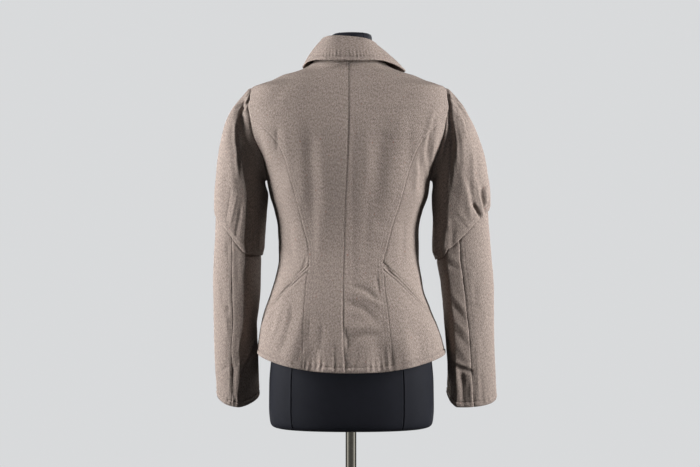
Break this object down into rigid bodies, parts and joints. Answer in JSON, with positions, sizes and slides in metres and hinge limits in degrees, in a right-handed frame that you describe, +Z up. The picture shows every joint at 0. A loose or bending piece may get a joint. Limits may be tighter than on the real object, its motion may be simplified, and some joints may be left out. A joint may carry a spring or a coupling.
{
  "type": "jacket on dress form",
  "caption": "Fitted wool jacket with a turned-down collar, gathered two-part sleeves and princess seams, standing on a limbless dress form with a pole and a round base.",
  "frame": {"origin": "on the floor at the pole's axis: the middle of the base's flat underside", "axes": "+Z up; the jacket's centre back faces -Y and its fronts face +Y; +X is the wearer's right"},
  "size_m": [0.5845, 0.36, 1.4955],
  "materials": {
    "wool": "matte heathered wool, taupe",
    "button": "dark, soft gloss",
    "form_cover": "matte dark cover",
    "pole": "polished",
    "base": "satin"
  },
  "bodies": {
    "root": {"back_left": "wool", "back_right": "wool", "side_back_left": "wool", "side_back_right": "wool", "hip_back_left": "wool", "hip_back_right": "wool", "front_left": "wool", "front_right": "wool", "side_front_left": "wool", "side_front_right": "wool", "hip_front_left": "wool", "hip_front_right": "wool", "sleeve_upper_left": "wool", "sleeve_upper_right": "wool", "sleeve_lower_outer_left": "wool", "sleeve_lower_outer_right": "wool", "sleeve_lower_under_left": "wool", "sleeve_lower_under_right": "wool", "collar": "wool", "button_1": "button", "button_2": "button", "button_3": "button", "button_4": "button", "button_5": "button", "button_6": "button", "form": "form_cover", "pole": "pole", "base": "base"}
  },
  "joints": []
}
